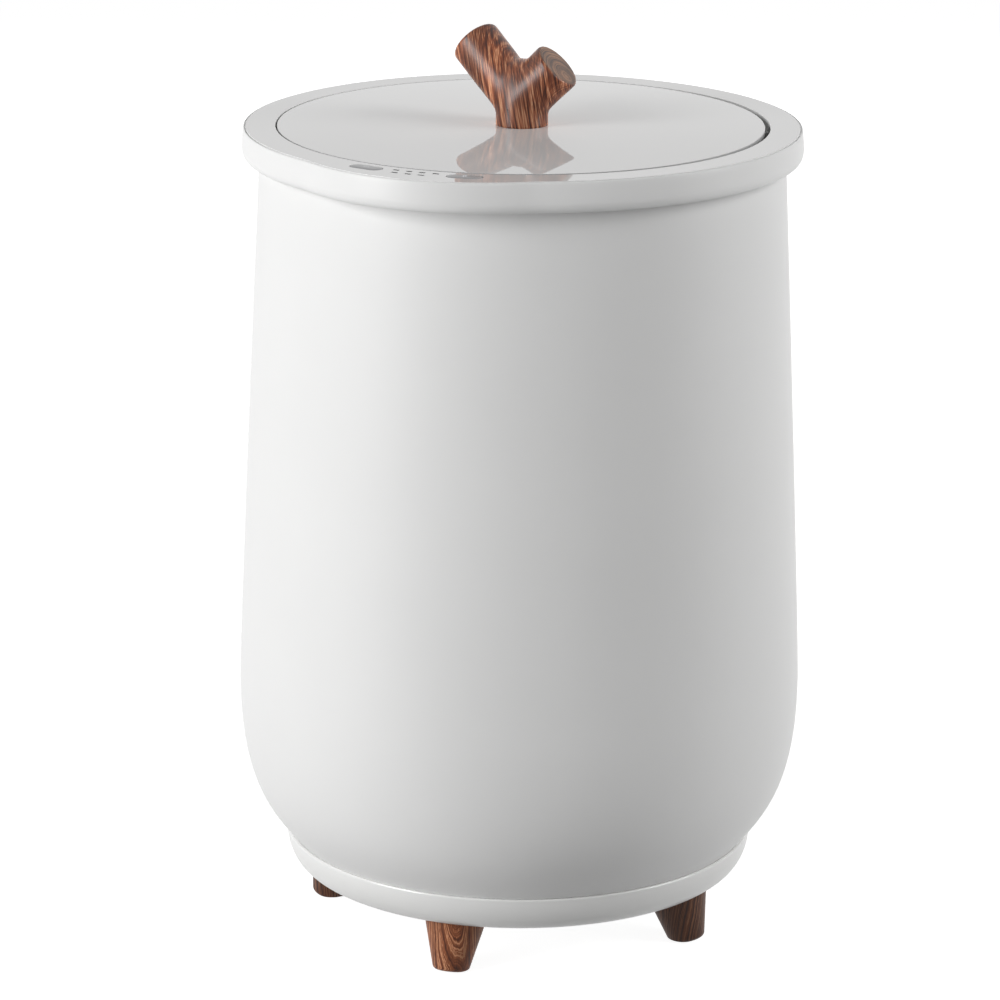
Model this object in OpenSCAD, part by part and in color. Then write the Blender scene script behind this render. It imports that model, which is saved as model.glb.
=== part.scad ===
// Towel warmer bucket: heated tub with a hinged lid, a twig handle, two rim buttons and four splayed legs.
// Origin on the floor under the middle of the tub, +Z up, -Y is the side of the controls, millimetres.
// Places round the tub are given by a bearing from the front (-Y), positive towards the right (+X).

/* [Rim and lid] */
// Height of the flat rim deck and of the lid's top face
deck_z = 480; // [470:1:500]
// Radius of the round lid opening in the rim
opening_r = 142.9; // [142:0.1:144]
// Radius where the flat deck ends and its crisp outer edge begins
deck_r = 160.4; // [159.8:0.1:160.8]
// Largest radius of the rim
rim_r = 162.5; // [161:0.5:164]
// Thickness of the rim deck
deck_t = 2.8; // [2.6:0.1:3]
// Radius of the lid disc
lid_r = 140.9; // [140.5:0.1:141]
// Sideways seat of the lid disc, which leaves the wider gap on the hinge side
lid_shift = -1.1; // [-1.2:0.1:-1]
// Thickness of the lid's top cover
cover_t = 3.2; // [3:0.1:3.4]

/* [Housing] */
// Largest radius of the barrel-shaped housing
barrel_r = 166.5; // [164:0.5:168]
// Height of the largest radius
barrel_z = 148; // [140:1:155]
// Wall thickness of the housing
housing_t = 2.2; // [1.8:0.1:2.6]
// Height of the housing's lower edge, inside the base ring
housing_z0 = 50.5; // [50:0.1:51]

/* [Tub] */
// Inside radius of the tub at its mouth
tub_r1 = 131; // [128:0.5:132]
// Inside radius of the tub at its floor
tub_r0 = 124; // [120:0.5:125]
// Height of the tub's inside floor
tub_floor_z = 85.2; // [84:0.1:90]
// Sheet thickness of the tub
tub_t = 1.2; // [1:0.1:1.5]
// Radius of the bend between the tub's wall and floor
tub_bend_r = 14; // [8:1:16]

/* [Handle] */
// Radius of the twig handle's round stem and branches
twig_r = 14.9; // [13:0.1:16]
// Height of the fork above the lid
fork_h = 13; // [11:0.5:15]
// Length of the longer branch from the fork to its end
long_branch = 45; // [40:1:50]
// Length of the shorter branch from the fork to its end
short_branch = 31; // [28:1:36]

/* [Legs] */
// Distance of each leg's foot from the middle
foot_circle_r = 113; // [108:1:116]
// Outward lean of the legs in degrees
leg_lean = 11; // [8:0.5:13]
// Leg radius under the base
leg_r1 = 17; // [15:0.5:17.5]
// Leg radius that the taper would reach at the floor
leg_r0 = 10.4; // [9:0.1:12]
// Bearing of the front leg
front_leg_phi = -19.5; // [-25:0.5:-15]
// Bearing of the left leg
left_leg_phi = -97.5; // [-105:0.5:-90]
// Bearing of the right leg
right_leg_phi = 61; // [55:0.5:65]
// Bearing of the rear leg
rear_leg_phi = 160.5; // [155:0.5:165]

/* [Controls] */
// Bearing of the power button
power_phi = -34.5; // [-36:0.5:-33.5]
// Bearing of the timer button
timer_phi = -12; // [-13:0.5:-11]
// Length of each oval button
button_l = 20; // [18:0.5:21]
// Width of each oval button
button_w = 8; // [7:0.5:8.5]
// Travel of each button
button_travel = 0.8; // [0.6:0.1:1]
// Bearings of the indicator lights, first to last
lights_phi = [-27.8, -24.7, -21.7, -18.6];

/* [Hinge] */
// Distance of the lid hinge pin from the middle
hinge_x = 147.5; // [147:0.1:148]
// Depth of the hinge pin below the deck's top face
hinge_drop = 6.5; // [6.4:0.1:6.8]
// Radius of the hinge pin
pin_r = 1.5; // [1.2:0.1:1.6]
// Width of the swan-neck hinge arm
arm_w = 18; // [16:1:18]

/* [Hidden] */
$fn = 96;

// Play between pieces on different bodies
play = 0.3;
// Radial clearance of the hinge arm on its pin
pin_play = 0.04;

// Rim cross-section heights and radii
deck_under_z = deck_z - deck_t;
rim_side_z = 468;
rim_low_r = 158.8;
rim_low_z = 462;
rim_wall = 2.4;
throat_t = 1.6;
ledge_z = 474;
ledge_t = 2.5;
ledge_r = 132.5;
drop_wall_t = 2.4;

// Housing shelf that carries the tub, and the neck inside the rim
shelf_top_z = 458.3;
shelf_t = 2;
shelf_r = 134.5;
neck_z = 468.5;
neck_r = 152.4;
neck_t = 2;
tub_flange_z = shelf_top_z + tub_t;
tub_flange_r = 139;
flange_t = 2.4;
ring_post_r = 147.9;

// Base heights and radii
base_top_z = 54.5;
base_top_r = 138.9;
base_low_z = 33.2;
base_low_r = 127.4;
base_wall = 1.9;
base_ledge_z = housing_z0 - 2.3;
plate_t = 3;
plate_r = 125.5;
plate_top_z = base_low_z + plate_t;
lip_r = 117;
lip_t = 2.2;
plate_screw_r = 121;
housing_screw_r = 128;
leg_top_z = base_low_z;
pad_t = 1;
pad_r = 6.4;

// Supply board on its four posts, and the cord's gland behind it
post_x = 40;
post_y = 25;
supply_z = base_low_z + 13.4;
gland_y = 108;
gland_r = 4.5;
gland_bore_r = 3.1;

// Wires down from the control board
harness_phi = -25;
harness_r = 147.3;
harness_z = 78;

// Hinge geometry, measured from the pin
pin_z = deck_z - hinge_drop;
arm_in = 8.5;
arm_out = 12.2;
boss_r = 3.6;
spoke_angle = 258;
spoke_w = 4;
cover_under_z = deck_z - cover_t;
arm_plate_t = 1.3;
arm_plate_x = 114;
arm_screw_x = 119;
arm_screw_y = 5.5;
ear_t = 3;
ear_gap = 0.3;
ear_r = 3;
bracket_x = 153;
bracket_screw_y = 16.5;

// Lid parts
lid_flange_t = 1.3;
lid_screw_r = 130.2;

// Control parts
controls_r = 151.5;
board_z = 469.4;
board_t = 1.6;
board_top_z = board_z + board_t;
board_screw_r = 151;
button_top_z = deck_z + 0.4;
button_flange_z = deck_under_z - play - 1.3;
light_l = 3.8;
light_w = 1.5;
lights_in_r = 148.3;
lights_out_r = 154.8;

// Directions of the handle's two branches from the fork
long_dir = [-0.566, 0.397, 0.722];
short_dir = [0.719, -0.24, 0.652];

// Bearings of the repeated fasteners
ring_screw_phis = [15, 55, 125, 165, 215, 265];
housing_screw_phis = [45, 105, 150, 210, 285, 345];
plate_screw_phis = [20, 100, 140, 190, 230, 285, 320];
leg_phis = [front_leg_phi, left_leg_phi, right_leg_phi, rear_leg_phi];
lid_screw_phis = [30, 150, 210, 270, 330];
board_screw_phis = [-46, -4];

// Place children at a bearing and a radius: local +X points outwards, local +Y runs round the rim
module at(phi, r, z = 0) {
    rotate([0, 0, phi - 90]) translate([r, 0, z]) children();
}

// One point of a cubic curve, and a run of its points
function curve_at(p, t) =
    pow(1 - t, 3) * p[0] + 3 * pow(1 - t, 2) * t * p[1] + 3 * (1 - t) * t * t * p[2] + pow(t, 3) * p[3];
function curve(p, n) = [for (i = [0:n]) curve_at(p, i / n)];
function moved(points, d) = [for (p = points) p + d];
function reversed(points) = [for (i = [len(points) - 1:-1:0]) points[i]];
function heading(a) = [cos(a), sin(a)];

// Outline of the barrel: a tight bowl at the foot, then a slow taper up to the rim
barrel_foot = [[133.6, housing_z0], [148.8, 70], [barrel_r, barrel_z - 66], [barrel_r, barrel_z]];
barrel_side = [[barrel_r, barrel_z], [barrel_r, barrel_z + 20], [157.5, 358], [152.4, rim_low_z]];
barrel_outline = concat(curve(barrel_foot, 14), curve(barrel_side, 12));

// Outline of the rim's outer wall, from the crisp edge of the deck down
rim_top_curve = [[deck_r, deck_z], [161.6, deck_z], [161.9, 477], [rim_r, rim_side_z]];
rim_low_curve = [[rim_r, rim_side_z], [rim_r, 465.2], [161.4, 462.6], [rim_low_r, rim_low_z]];

// Outline of the base ring's outer wall, from its top edge down
base_curve = [[base_top_r, base_top_z], [139.4, 46], [135.5, 35.2], [base_low_r, base_low_z]];

// An oval slug, long round the rim
module oval(l, w, h) {
    linear_extrude(h) {
        square([w, l - w], center = true);
        for (s = [-1, 1]) translate([0, s * (l - w) / 2]) circle(d = w);
    }
}

// A small pan-head screw, shank up, with its head below z = 0
module screw(shank_r, shank_l, head_r, head_h) {
    cylinder(r = shank_r, h = shank_l);
    translate([0, 0, -head_h]) cylinder(r = head_r, h = head_h);
}

// Barrel-shaped plastic shell with the shelf that carries the tub and the neck under the rim
module outer_housing() {
    inner = moved(barrel_outline, [-housing_t, 0]);
    color("white") difference() {
        rotate_extrude($fn = 180) polygon(concat(
            barrel_outline,
            [[neck_r, rim_low_z], [neck_r, neck_z], [neck_r - neck_t, neck_z], [neck_r - neck_t, shelf_top_z],
             [shelf_r, shelf_top_z], [shelf_r, shelf_top_z - shelf_t], [150.3, shelf_top_z - shelf_t]],
            [for (p = reversed(inner)) if (p[1] > housing_z0 + 3 && p[1] < shelf_top_z - 8) p],
            [[122, housing_z0 + flange_t], [122, housing_z0]]
        ));
        for (phi = ring_screw_phis) at(phi, ring_post_r, shelf_top_z - 4) cylinder(r = 1.4, h = 8);
        for (phi = housing_screw_phis) at(phi, housing_screw_r, housing_z0 - 1) cylinder(r = 1.15, h = 6);
        at(harness_phi, harness_r, shelf_top_z - 4) cylinder(r = 2.6, h = 8);
    }
}

// Rim moulding: flat control deck, outer wall, throat, gasket ledge and drop wall
module top_ring() {
    color("white") difference() {
        union() {
            rotate_extrude($fn = 180) polygon(concat(
                [[opening_r, deck_z]],
                curve(rim_top_curve, 8),
                curve(rim_low_curve, 5),
                [[neck_r + 3.4, rim_low_z], [neck_r + 3.4, rim_low_z + 1.6]],
                [[rim_r - rim_wall, rim_side_z - 2], [rim_r - rim_wall, rim_side_z + 1]],
                [[158.6, deck_under_z], [opening_r + throat_t, deck_under_z], [opening_r + throat_t, ledge_z - ledge_t],
                 [ledge_r + drop_wall_t, ledge_z - ledge_t], [ledge_r + drop_wall_t, tub_flange_z],
                 [ledge_r, tub_flange_z], [ledge_r, ledge_z], [opening_r, ledge_z]]
            ));
            for (phi = ring_screw_phis)
                at(phi, ring_post_r, shelf_top_z) cylinder(r = 2.3, h = deck_under_z - shelf_top_z + 0.5);
            for (phi = board_screw_phis)
                at(phi, board_screw_r, board_top_z) cylinder(r = 2.6, h = deck_under_z - board_top_z + 0.5);
        }
        for (phi = ring_screw_phis) at(phi, ring_post_r, shelf_top_z - 1) cylinder(r = 1.1, h = 13);
        for (phi = board_screw_phis) at(phi, board_screw_r, board_top_z - 1) cylinder(r = 0.9, h = 6);
        for (phi = [power_phi, timer_phi])
            at(phi, controls_r, deck_under_z - 1) oval(button_l + 2 * play, button_w + 2 * play, deck_t + 2);
        light_holes(0.05);
        // Room for the hinge arm to swing, with the deck thinned over its pin
        translate([134.8, -arm_w / 2 - 0.7, tub_flange_z - 1])
            cube([bracket_x + 0.6 - 134.8, arm_w + 1.4, deck_under_z + 0.6 - tub_flange_z + 1]);
        for (s = [-1, 1])
            translate([hinge_x, s * bracket_screw_y, deck_under_z - 1]) cylinder(r = 0.9, h = 3);
    }
}

// Slots or lenses of the seven indicator lights: four in the inner row, three in the outer
module light_row(r, count, grow, z, h) {
    for (i = [0:count - 1])
        at(lights_phi[i], r, z)
            translate([-light_w / 2 - grow, -light_l / 2 - grow, 0])
                cube([light_w + 2 * grow, light_l + 2 * grow, h]);
}
module light_holes(grow) {
    light_row(lights_in_r, 4, grow, deck_under_z - 1, deck_t + 2);
    light_row(lights_out_r, 3, grow, deck_under_z - 1, deck_t + 2);
}

// Spun aluminium tub with a rolled flange that rests on the housing's shelf
module inner_bucket() {
    f = tub_floor_z;
    b = tub_bend_r;
    bend_out = [for (a = [-90:15:0]) [tub_r0 - b + (b + tub_t) * cos(a), f + b + (b + tub_t) * sin(a)]];
    bend_in = [for (a = [0:-15:-90]) [tub_r0 - b + b * cos(a), f + b + b * sin(a)]];
    color("silver") rotate_extrude($fn = 180) polygon(concat(
        [[0, f - tub_t]],
        bend_out,
        [[tub_r1 + tub_t, shelf_top_z - 6], [tub_r1 + tub_t + 1.4, shelf_top_z],
         [tub_flange_r, shelf_top_z], [tub_flange_r, tub_flange_z],
         [tub_r1 + 1.4, tub_flange_z], [tub_r1, shelf_top_z - 6]],
        bend_in,
        [[0, f]]
    ));
}

// Radius of the tub's outer wall at a height
function tub_wall_r(z) =
    tub_r0 + tub_t + (tub_r1 - tub_r0) * (z - tub_floor_z - tub_bend_r)
    / (shelf_top_z - 6 - tub_floor_z - tub_bend_r);

// A sleeve round the tub's wall between two heights
module tub_sleeve(z0, z1, gap, t) {
    rotate_extrude($fn = 180) polygon([
        [tub_wall_r(z0) + gap, z0], [tub_wall_r(z0) + gap + t, z0],
        [tub_wall_r(z1) + gap + t, z1], [tub_wall_r(z1) + gap, z1]
    ]);
}

// Etched-foil heating band bonded round the tub
module heater_film() {
    color("orange") tub_sleeve(125, 425, 0.02, 0.5);
}

// Round heating plate under the tub's floor
module heater_disc() {
    color("dimgray") translate([0, 0, tub_floor_z - tub_t - 1.6]) cylinder(r = 89.5, h = 1.6);
}

// Glass-fibre blanket round the heating band
module insulation_blanket() {
    color("lightyellow") tub_sleeve(112, 436, 0.6, 8);
}

// Sensor bead in its clip on the tub's wall, above the blanket
module temperature_sensor() {
    color("black") at(-25, tub_wall_r(452) + 0.1, 444) union() {
        translate([0, -5, 0]) cube([3.4, 10, 8]);
        translate([3.4, 0, 4]) rotate([0, 90, 0]) cylinder(r = 2.2, h = 2.4);
    }
}

// Bimetal cut-out screwed under the heating plate
module thermal_cutout() {
    color("tan") translate([42, 18, tub_floor_z - tub_t - 1.6]) mirror([0, 0, 1]) {
        cylinder(r = 12, h = 1);
        cylinder(r = 8, h = 9);
        for (s = [-1, 1]) translate([-0.4, s * 4 - 3, 9]) cube([0.8, 6, 7]);
    }
}

// Slotted plastic skirt that carries the tub's floor above the boards
module bucket_support() {
    top_z = tub_floor_z - tub_t;
    foot_z = plate_top_z + 2;
    color("gainsboro") difference() {
        rotate_extrude($fn = 120) polygon([
            [90.5, plate_top_z], [98.5, plate_top_z], [98.5, foot_z], [94.4, foot_z], [94.4, top_z],
            [92, top_z], [92, foot_z], [90.5, foot_z]
        ]);
        for (i = [0:5])
            at(harness_phi + i * 60, 85, 56) translate([0, -9, 0]) cube([20, 18, 25]);
    }
}

// Bowl-shaped ring that hides the joint between the housing and the legs
module base_ring() {
    inner = moved(curve(base_curve, 9), [-base_wall, 0]);
    lip_z = plate_top_z;
    color("whitesmoke") difference() {
        rotate_extrude($fn = 180) polygon(concat(
            [[base_top_r - base_wall, base_top_z]],
            curve(base_curve, 9),
            [[plate_r + 0.3, base_low_z], [plate_r + 0.3, lip_z], [lip_r, lip_z], [lip_r, lip_z + lip_t]],
            [for (p = reversed(inner)) if (p[1] > lip_z + lip_t && p[1] < base_ledge_z) p],
            [[136.8, base_ledge_z], [124, base_ledge_z], [124, housing_z0], [137, housing_z0]]
        ));
        for (phi = plate_screw_phis) at(phi, plate_screw_r, base_low_z + 1) cylinder(r = 1.2, h = 8);
        for (phi = housing_screw_phis) at(phi, housing_screw_r, base_ledge_z - 1) cylinder(r = 1.25, h = 6);
    }
}

// Bottom plate with the board posts, leg holes and cooling slots
module base_plate() {
    color("whitesmoke") difference() {
        union() {
            translate([0, 0, base_low_z]) cylinder(r = plate_r, h = plate_t, $fn = 180);
            board_corners(base_low_z) cylinder(r = 3.6, h = supply_z - base_low_z);
        }
        board_corners(base_low_z + 4) cylinder(r = 1.3, h = 12);
        for (phi = leg_phis) at(phi, leg_bolt_r, base_low_z - 1) cylinder(r = 3.2, h = 8);
        for (phi = plate_screw_phis) at(phi, plate_screw_r, base_low_z - 1) cylinder(r = 1.5, h = 8);
        translate([0, gland_y, base_low_z - 1]) cylinder(r = gland_r + 0.05, h = 8);
        for (i = [-3:3]) translate([-30, i * 8 - 1.5, base_low_z - 1]) cube([60, 3, 6]);
    }
}

// Place children at the four posts of the supply board
module board_corners(z) {
    for (x = [-post_x, post_x], y = [-post_y, post_y]) translate([x, y, z]) children();
}

// Distance of a leg's bolt from the middle: the leaning axis where it meets the bottom plate
leg_bolt_r = foot_circle_r - (base_low_z + plate_t / 2) * tan(leg_lean);

// Turned hardwood leg: a leaning taper with a rounded toe, cut level at both ends
module leg(phi) {
    len_axis = 44;
    toe = 4.6;
    toe_z = -0.4;
    slope = (leg_r1 - leg_r0) / leg_top_z;
    bolt_bore_r = 2.95;
    toe_arc = [for (a = [-90:15:-10]) [leg_r0 - toe + 0.9 + toe * cos(a), toe_z + toe + toe * sin(a)]];
    color("saddlebrown") difference() {
        intersection() {
            at(phi, foot_circle_r) rotate([0, -leg_lean, 0]) rotate_extrude() polygon(concat(
                [[0, toe_z]], toe_arc, [[leg_r0 + slope * len_axis, len_axis], [0, len_axis]]
            ));
            at(phi, foot_circle_r - 8, pad_t) cylinder(r = 30, h = leg_top_z - pad_t);
        }
        at(phi, leg_bolt_r, 12) cylinder(r = bolt_bore_r, h = 30);
    }
}
module front_leg() { leg(front_leg_phi); }
module left_leg() { leg(left_leg_phi); }
module right_leg() { leg(right_leg_phi); }
module rear_leg() { leg(rear_leg_phi); }

// Bolts through the bottom plate into the legs
module leg_bolts() {
    color("silver") for (phi = leg_phis) at(phi, leg_bolt_r, plate_top_z) {
        cylinder(r = 5.5, h = 3.6);
        translate([0, 0, -22]) cylinder(r = 2.9, h = 22);
    }
}

// Rubber discs under the toes
module foot_pads() {
    color("dimgray") for (phi = leg_phis) at(phi, foot_circle_r) cylinder(r = pad_r, h = pad_t);
}

// Rubber bush that snaps into the bottom plate at the back, with the cord's bore
module cord_gland() {
    color("gray") translate([0, gland_y, base_low_z]) difference() {
        rotate_extrude() polygon([
            [0, -2], [6.4, -2], [7, -1.4], [7, 0], [gland_r, 0], [gland_r, plate_t],
            [5.3, plate_t], [5.3, plate_t + 1], [gland_r - 0.1, plate_t + 5], [0, plate_t + 5]
        ]);
        translate([0, 0, -3]) cylinder(r = gland_bore_r, h = plate_t + 10);
    }
}

// Mains terminal block on the bottom plate, between the gland and the supply board
module terminal_block() {
    color("ivory") translate([-14, 66, plate_top_z]) difference() {
        cube([28, 12, 12]);
        for (i = [0:2]) translate([5 + i * 9, 6, 5]) cylinder(r = 2, h = 10);
    }
}

// Supply board with its transformer, relay, capacitor and choke
module power_board() {
    color("darkgreen") difference() {
        translate([-46, -31, supply_z]) cube([92, 62, board_t]);
        board_corners(supply_z - 1) cylinder(r = 1.6, h = 5);
    }
    color("black") translate([0, 0, supply_z + board_t]) {
        translate([-34, -10, 0]) cube([22, 20, 17]);
        translate([-4, -24, 0]) cube([19, 15, 15]);
        translate([28, 6, 0]) cylinder(r = 6, h = 14);
        translate([22, -16, 0]) cylinder(r = 5, h = 9);
        translate([-6, 6, 0]) cube([16, 8, 12]);
    }
}

// Screws that hold the supply board on its posts
module power_board_screws() {
    color("silver") board_corners(supply_z + board_t) mirror([0, 0, 1]) screw(1.2, 9, 3, 1.8);
}

// Wires from the control board down inside the housing to the supply board
module wiring_harness() {
    r = 2;
    in_r = 30;
    end_z = supply_z + board_t;
    color("black") {
        at(harness_phi, harness_r, harness_z) cylinder(r = r, h = board_z - harness_z);
        at(harness_phi, in_r, harness_z) rotate([0, 90, 0]) cylinder(r = r, h = harness_r - in_r);
        at(harness_phi, in_r, end_z) cylinder(r = r, h = harness_z - end_z);
        for (x = [in_r, harness_r]) at(harness_phi, x, harness_z) sphere(r = r + 0.2, $fn = 32);
    }
}

// Curved circuit board under the control deck
module control_board() {
    color("darkgreen") difference() {
        rotate([0, 0, -138.5]) rotate_extrude(angle = 47)
            translate([146.4, board_z]) square([9.6, board_t]);
        for (phi = board_screw_phis) at(phi, board_screw_r, board_z - 1) cylinder(r = 1.2, h = 4);
    }
}

// Two screws that hold the control board to its posts
module control_board_screws() {
    color("silver") for (phi = board_screw_phis) at(phi, board_screw_r, board_z) screw(0.85, 5.6, 1.8, 0.8);
}

// Tactile switches under the two buttons
module button_switches() {
    color("black") for (phi = [power_phi, timer_phi]) at(phi, controls_r, board_top_z) {
        translate([-3, -3, 0]) cube([6, 6, 2.6]);
        cylinder(r = 1.7, h = button_flange_z - button_travel - play - board_top_z);
    }
}

// Clear light guides, flush with the deck
module indicator_lenses() {
    color("lightgray") {
        light_row(lights_in_r, 4, 0, deck_under_z - 1.2, deck_t + 1.2);
        light_row(lights_out_r, 3, 0, deck_under_z - 1.2, deck_t + 1.2);
    }
}

// Surface-mounted lights below the guides
module indicator_leds() {
    color("gold") {
        light_row(lights_in_r, 4, 0, board_top_z, 1);
        light_row(lights_out_r, 3, 0, board_top_z, 1);
    }
}

// Oval keycap with a retaining flange below the deck
module button(phi) {
    at(phi, controls_r) {
        translate([0, 0, button_flange_z + 1]) oval(button_l, button_w, button_top_z - button_flange_z - 1.4);
        translate([0, 0, button_top_z - 0.4]) oval(button_l - 0.8, button_w - 0.8, 0.4);
        translate([0, 0, button_flange_z]) oval(button_l + 2.6, button_w + 2.6, 1.3);
    }
}
module power_button() { color("dimgray") button(power_phi); }
module timer_button() { color("dimgray") button(timer_phi); }

// Steel bracket under the deck: two ears for the pin, a web and two feet
module hinge_bracket() {
    ear_y = arm_w / 2 + ear_gap;
    foot_t = 1.5;
    foot_y = 20.5;
    color("silver") difference() {
        union() {
            for (s = [-1, 1]) translate([hinge_x, s * (ear_y + ear_t / 2), pin_z])
                rotate([90, 0, 0]) linear_extrude(ear_t, center = true) {
                    circle(r = ear_r);
                    translate([0, -ear_r]) square([bracket_x - hinge_x, ear_r + deck_under_z - pin_z]);
                    translate([-ear_r, 0]) square([ear_r + 1, deck_under_z - pin_z]);
                }
            translate([bracket_x - 1.6, -ear_y - ear_t, pin_z - ear_r])
                cube([1.6, 2 * (ear_y + ear_t), ear_r + deck_under_z - pin_z]);
            for (y0 = [ear_y + ear_t, -foot_y]) translate([hinge_x - ear_r, y0, deck_under_z - foot_t])
                cube([ear_r + 4, foot_y - ear_y - ear_t, foot_t]);
        }
        translate([hinge_x, 0, pin_z]) rotate([90, 0, 0]) cylinder(r = pin_r + 0.01, h = 40, center = true);
        for (s = [-1, 1])
            translate([hinge_x, s * bracket_screw_y, deck_under_z - 4]) cylinder(r = 1.2, h = 6);
    }
}

// Steel hinge pin along Y
module hinge_pin() {
    color("silver") translate([hinge_x, 0, pin_z])
        rotate([90, 0, 0]) cylinder(r = pin_r, h = arm_w + 2 * (ear_gap + ear_t) + 0.8, center = true);
}

// Screws that hold the hinge bracket's feet under the deck
module hinge_bracket_screws() {
    color("silver") for (s = [-1, 1])
        translate([hinge_x, s * bracket_screw_y, deck_under_z - 1.5]) screw(0.85, 3.2, 2, 1.1);
}

// Screws from below through the housing's shelf into the rim's posts
module ring_screws() {
    color("silver") for (phi = ring_screw_phis)
        at(phi, ring_post_r, shelf_top_z - shelf_t) screw(1.05, 12, 2.2, 1.4);
}

// Screws from below through the base ring's ledge into the housing's flange
module housing_screws() {
    color("silver") for (phi = housing_screw_phis)
        at(phi, housing_screw_r, base_ledge_z) screw(1.1, 4.7, 2.4, 1.3);
}

// Screws through the bottom plate into the base ring's lip
module base_plate_screws() {
    color("silver") for (phi = plate_screw_phis) at(phi, plate_screw_r, base_low_z) screw(1.15, 5, 2.6, 1.2);
}

// Glossy top cover of the lid
module lid_top_cover() {
    edge = 0.5;
    color("gainsboro") difference() {
        translate([lid_shift, 0, 0]) rotate_extrude($fn = 180) polygon([
            [0, cover_under_z], [lid_r - edge, cover_under_z], [lid_r, cover_under_z + edge],
            [lid_r, deck_z - edge], [lid_r - edge, deck_z], [0, deck_z]
        ]);
        translate([0, 0, cover_under_z - 1]) cylinder(r = 2.7, h = 8);
        for (phi = lid_screw_phis) at(phi, lid_screw_r, cover_under_z - 1) cylinder(r = 0.9, h = 3.4);
        for (s = [-1, 1])
            translate([arm_screw_x, s * arm_screw_y, cover_under_z - 1]) cylinder(r = 1, h = 3.4);
    }
}

// Dished inner cover of the lid, hollow for the foam
module lid_inner_cover() {
    flange_z = cover_under_z - lid_flange_t;
    dish_z = 464;
    color("white") difference() {
        rotate_extrude($fn = 180) polygon([
            [0, dish_z], [124, dish_z], [128, dish_z + 3], [128, flange_z], [136, flange_z],
            [136, cover_under_z], [126, cover_under_z], [126, dish_z + 3.8], [123.4, dish_z + 1.6],
            [0, dish_z + 1.6]
        ]);
        translate([arm_plate_x - 0.1, -arm_w / 2 - 0.1, flange_z - 0.05]) cube([30, arm_w + 0.2, 5]);
        for (phi = lid_screw_phis) at(phi, lid_screw_r, flange_z - 1) cylinder(r = 1.1, h = 6);
    }
}

// Foam disc inside the lid
module lid_insulation() {
    color("lightyellow") translate([0, 0, 465.8]) difference() {
        cylinder(r = 122, h = 8.6, $fn = 120);
        translate([0, 0, -1]) cylinder(r = 16, h = 12);
    }
}

// Flat silicone ring under the lid's flange
module lid_gasket() {
    color("silver") translate([0, 0, ledge_z + play]) difference() {
        cylinder(r = 135, h = cover_under_z - lid_flange_t - ledge_z - play, $fn = 180);
        translate([0, 0, -1]) cylinder(r = 132.9, h = 5, $fn = 180);
    }
}

// Swan-neck arm: a plate under the lid and a hook that swings round the rim's inner edge
module lid_hinge_arm() {
    hook_span = [for (i = [0:6]) 145 + i * (spoke_angle - 145) / 6];
    color("white") difference() {
        union() {
            translate([hinge_x, 0, pin_z]) rotate([90, 0, 0]) linear_extrude(arm_w, center = true) {
                intersection() {
                    difference() {
                        circle(r = arm_out);
                        circle(r = arm_in);
                    }
                    translate([-20, -20]) square([40, 20 + cover_under_z - pin_z]);
                    polygon(concat([[0, 0]], [for (a = hook_span) 30 * heading(a)]));
                }
                circle(r = boss_r);
                rotate(spoke_angle) translate([0, -spoke_w / 2]) square([arm_out - 0.4, spoke_w]);
            }
            translate([arm_plate_x, -arm_w / 2, cover_under_z - arm_plate_t])
                cube([136.6 - arm_plate_x, arm_w, arm_plate_t]);
        }
        translate([hinge_x, 0, pin_z]) rotate([90, 0, 0])
            cylinder(r = pin_r + pin_play, h = 40, center = true);
        for (s = [-1, 1])
            translate([arm_screw_x, s * arm_screw_y, cover_under_z - 4]) cylinder(r = 1.2, h = 8);
    }
}

// Screws that hold the hinge arm's plate under the lid
module hinge_arm_screws() {
    color("silver") for (s = [-1, 1])
        translate([arm_screw_x, s * arm_screw_y, cover_under_z - arm_plate_t]) screw(0.95, 3.4, 2.2, 1);
}

// Screws that join the lid's two covers
module lid_cover_screws() {
    color("silver") for (phi = lid_screw_phis)
        at(phi, lid_screw_r, cover_under_z - lid_flange_t) screw(0.85, 3.3, 1.8, 0.9);
}

// One round branch with a softly rounded end, from the fork along a direction
module branch(dir, l, r) {
    soft = 2.2;
    rotate([0, acos(dir[2]), atan2(dir[1], dir[0])]) {
        cylinder(r = r, h = l - soft);
        translate([0, 0, l - soft]) rotate_extrude() {
            square([r - soft, soft]);
            intersection() {
                translate([r - soft, 0]) circle(r = soft);
                square([r, soft]);
            }
        }
    }
}

// Twig-shaped wooden handle: a stem that forks into a long and a short branch
module twig_handle() {
    color("saddlebrown") difference() {
        union() {
            translate([0, 0, deck_z]) cylinder(r = twig_r + 0.25, h = fork_h);
            translate([0, 0, deck_z + fork_h]) {
                sphere(r = twig_r + 0.6);
                branch(long_dir, long_branch, twig_r - 0.15);
                branch(short_dir, short_branch, twig_r + 0.1);
            }
        }
        translate([0, 0, deck_z - 20]) cylinder(r = 30, h = 20);
        translate([0, 0, deck_z - 1]) cylinder(r = 2.5, h = 22);
    }
}

// Screw from inside the lid up into the handle
module handle_screw() {
    color("silver") translate([0, 0, cover_under_z - 1.2]) screw(2.45, 22, 4.4, 2.8);
}

// Washer that spreads the handle screw's load
module handle_washer() {
    color("silver") translate([0, 0, cover_under_z - 1.2]) difference() {
        cylinder(r = 10, h = 1.2);
        translate([0, 0, -1]) cylinder(r = 2.6, h = 4);
    }
}

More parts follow.
